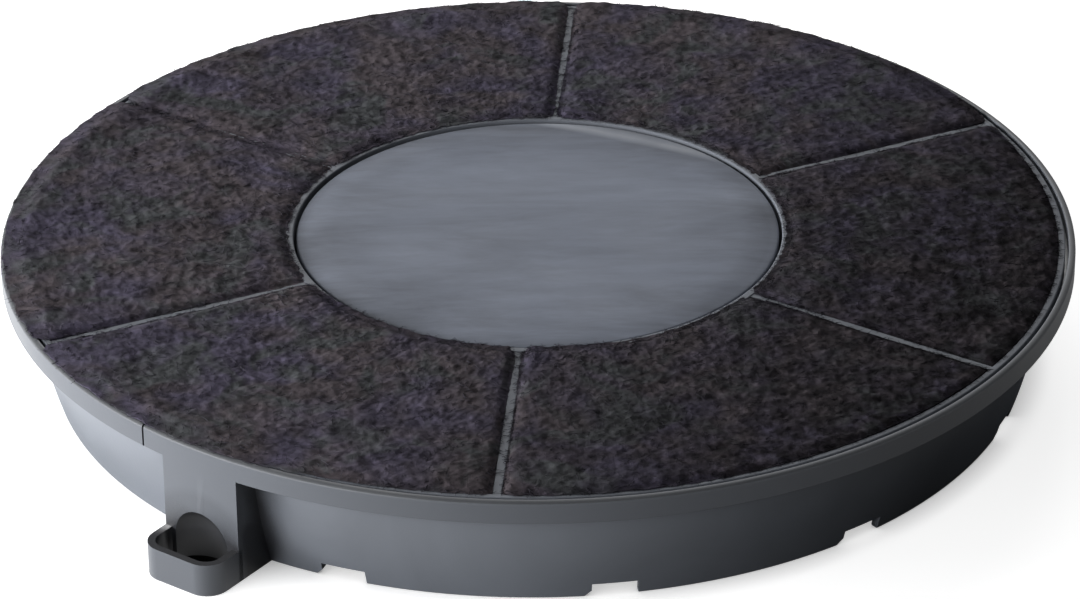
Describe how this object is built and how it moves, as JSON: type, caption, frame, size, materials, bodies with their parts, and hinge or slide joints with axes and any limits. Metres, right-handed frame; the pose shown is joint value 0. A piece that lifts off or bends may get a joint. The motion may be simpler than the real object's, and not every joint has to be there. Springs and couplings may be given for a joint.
{
  "type": "cooker hood carbon filter",
  "caption": "Round carbon filter in a dark plastic housing, with felt pads between spokes, a smooth centre disc over a hub socket, and a finger loop at the edge.",
  "frame": {"origin": "centre of the bottom edge's plane, on the axis", "axes": "+Z along the axis, to the felt face; the felt pads are parted by spokes at 30 degrees from +X and every 60 degrees; the finger loop lies at -121.9 degrees from +X"},
  "size_m": [0.233, 0.233, 0.0287],
  "materials": {
    "housing_plastic": "satin",
    "frame_plastic": "satin",
    "disc_plastic": "fine matt",
    "felt": "needled felt",
    "carbon": "granules"
  },
  "bodies": {
    "root": {"housing": "housing_plastic", "cover_frame": "frame_plastic", "hub_cup": "disc_plastic", "rear_grille": "housing_plastic", "rear_felt": "felt", "front_felt_1": "felt", "front_felt_2": "felt", "front_felt_3": "felt", "front_felt_4": "felt", "front_felt_5": "felt", "front_felt_6": "felt", "carbon_bed_1": "carbon", "carbon_bed_2": "carbon", "carbon_bed_3": "carbon", "carbon_bed_4": "carbon", "carbon_bed_5": "carbon", "carbon_bed_6": "carbon"}
  },
  "joints": []
}
